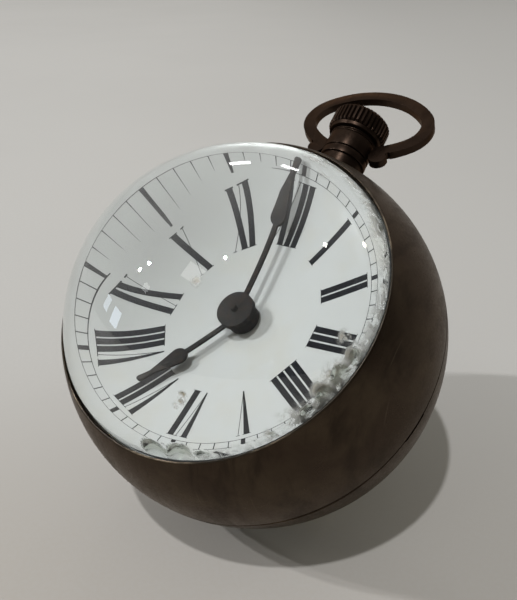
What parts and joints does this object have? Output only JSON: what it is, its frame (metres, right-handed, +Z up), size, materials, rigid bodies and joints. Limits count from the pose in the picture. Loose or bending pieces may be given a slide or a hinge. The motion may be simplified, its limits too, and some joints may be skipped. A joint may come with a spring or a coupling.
{
  "type": "ball desk clock",
  "caption": "Ball-shaped desk clock: bronze sphere with domed glass front and back, enamel dial, watch movement, and a neck with winding crown and oval bow",
  "frame": {"origin": "centre of the flat ground on the rear glass, where the ball stands", "axes": "+Z up; the dial faces up and towards -Y; +X is towards three o'clock; the neck leans back and up towards +Y"},
  "size_m": [0.064, 0.0794, 0.0648],
  "materials": {
    "patina": "dark brown patina, satin and worn",
    "pendant": "darkened brass, satin",
    "glass": "clear thick glass, faint green, chipped at the rim",
    "enamel": "pale glossy enamel",
    "blued_steel": "dark blued steel",
    "gilt": "matt gilded",
    "steel": "polished"
  },
  "bodies": {
    "case": {"front_case": "patina", "front_glass": "glass", "movement_ring": "gilt", "dog_screws": "steel", "dial": "enamel", "main_plate": "gilt", "train_plate": "gilt", "plate_screws": "steel", "pallet_cock": "gilt", "pallet_lever": "steel", "balance_cock": "gilt", "click": "steel", "neck": "pendant", "bow_pins": "pendant"},
    "back": {"back_case": "patina", "rear_glass": "glass", "rear_ring": "gilt"},
    "bow": {"bow": "pendant"},
    "setting": {"setting_sleeve": "steel"},
    "crown": {"crown": "pendant", "winding_stem": "steel"},
    "crown_wheel": {"crown_wheel": "steel"},
    "ratchet": {"ratchet_wheel": "steel"},
    "minute": {"minute_hand": "blued_steel", "cannon_pinion": "steel"},
    "hour": {"hour_hand": "blued_steel", "hour_wheel": "gilt"},
    "minute_wheel": {"minute_wheel": "gilt"},
    "fourth": {"fourth_wheel": "gilt"},
    "escape": {"escape_wheel": "steel"},
    "third": {"third_wheel": "gilt"},
    "centre": {"centre_wheel": "gilt"},
    "barrel": {"barrel": "gilt"},
    "balance": {"balance_wheel": "gilt", "hairspring": "steel"}
  },
  "joints": [
    {"name": "back_off", "type": "slide", "parent": "case", "child": "back", "axis": [0, 0.6252, -0.7804], "range_m": [0, 0.025]},
    {"name": "bow_swing", "type": "hinge", "parent": "case", "child": "bow", "pos_m": [0, 0.02883, 0.05624], "axis": [1, 0, 0], "range_deg": [-105, 120]},
    {"name": "crown_pull", "type": "slide", "parent": "case", "child": "setting", "axis": [0, 0.7804, 0.6252], "range_m": [0, 0.0015]},
    {"name": "crown_turn", "type": "hinge", "parent": "setting", "child": "crown", "pos_m": [0, -0.00168, 0.0318], "axis": [0, 0.7804, 0.6252], "continuous": true},
    {"name": "crown_wheel_turn", "type": "hinge", "parent": "case", "child": "crown_wheel", "pos_m": [0, 0.0069, 0.03867], "axis": [0, -0.6252, 0.7804], "continuous": true},
    {"name": "ratchet_turn", "type": "hinge", "parent": "case", "child": "ratchet", "pos_m": [-0.00935, 0.00269, 0.0353], "axis": [0, -0.6252, 0.7804], "continuous": true},
    {"name": "minute_turn", "type": "hinge", "parent": "case", "child": "minute", "pos_m": [0, -0.00168, 0.0318], "axis": [0, 0.6252, -0.7804], "continuous": true},
    {"name": "hour_turn", "type": "hinge", "parent": "case", "child": "hour", "pos_m": [0, -0.00168, 0.0318], "axis": [0, 0.6252, -0.7804], "continuous": true},
    {"name": "minute_wheel_turn", "type": "hinge", "parent": "case", "child": "minute_wheel", "pos_m": [0.0024, -0.00493, 0.0292], "axis": [0, 0.6252, -0.7804], "continuous": true},
    {"name": "fourth_turn", "type": "hinge", "parent": "case", "child": "fourth", "pos_m": [0.00484, -0.00961, 0.02544], "axis": [0, 0.6252, -0.7804], "continuous": true},
    {"name": "escape_turn", "type": "hinge", "parent": "case", "child": "escape", "pos_m": [-0.00028, -0.01106, 0.02428], "axis": [0, 0.6252, -0.7804], "continuous": true},
    {"name": "third_turn", "type": "hinge", "parent": "case", "child": "third", "pos_m": [0.0059, -0.00491, 0.02921], "axis": [0, 0.6252, -0.7804], "continuous": true},
    {"name": "centre_turn", "type": "hinge", "parent": "case", "child": "centre", "pos_m": [0, -0.00168, 0.0318], "axis": [0, 0.6252, -0.7804], "continuous": true},
    {"name": "barrel_turn", "type": "hinge", "parent": "case", "child": "barrel", "pos_m": [-0.00935, 0.00269, 0.0353], "axis": [0, 0.6252, -0.7804], "continuous": true},
    {"name": "balance_swing", "type": "hinge", "parent": "case", "child": "balance", "pos_m": [-0.0088, -0.0073, 0.02729], "axis": [0, 0.6252, -0.7804], "range_deg": [-270, 270]}
  ],
  "couplings": [
    {"joint": "crown_wheel_turn", "follows": "crown_turn", "ratio": 0.63636},
    {"joint": "ratchet_turn", "follows": "crown_turn", "ratio": -0.4375},
    {"joint": "hour_turn", "follows": "minute_turn", "ratio": 0.083333},
    {"joint": "minute_wheel_turn", "follows": "minute_turn", "ratio": -0.33333},
    {"joint": "escape_turn", "follows": "fourth_turn", "ratio": -7},
    {"joint": "third_turn", "follows": "fourth_turn", "ratio": -0.13333},
    {"joint": "centre_turn", "follows": "fourth_turn", "ratio": 0.016667},
    {"joint": "barrel_turn", "follows": "fourth_turn", "ratio": -0.0026667}
  ]
}
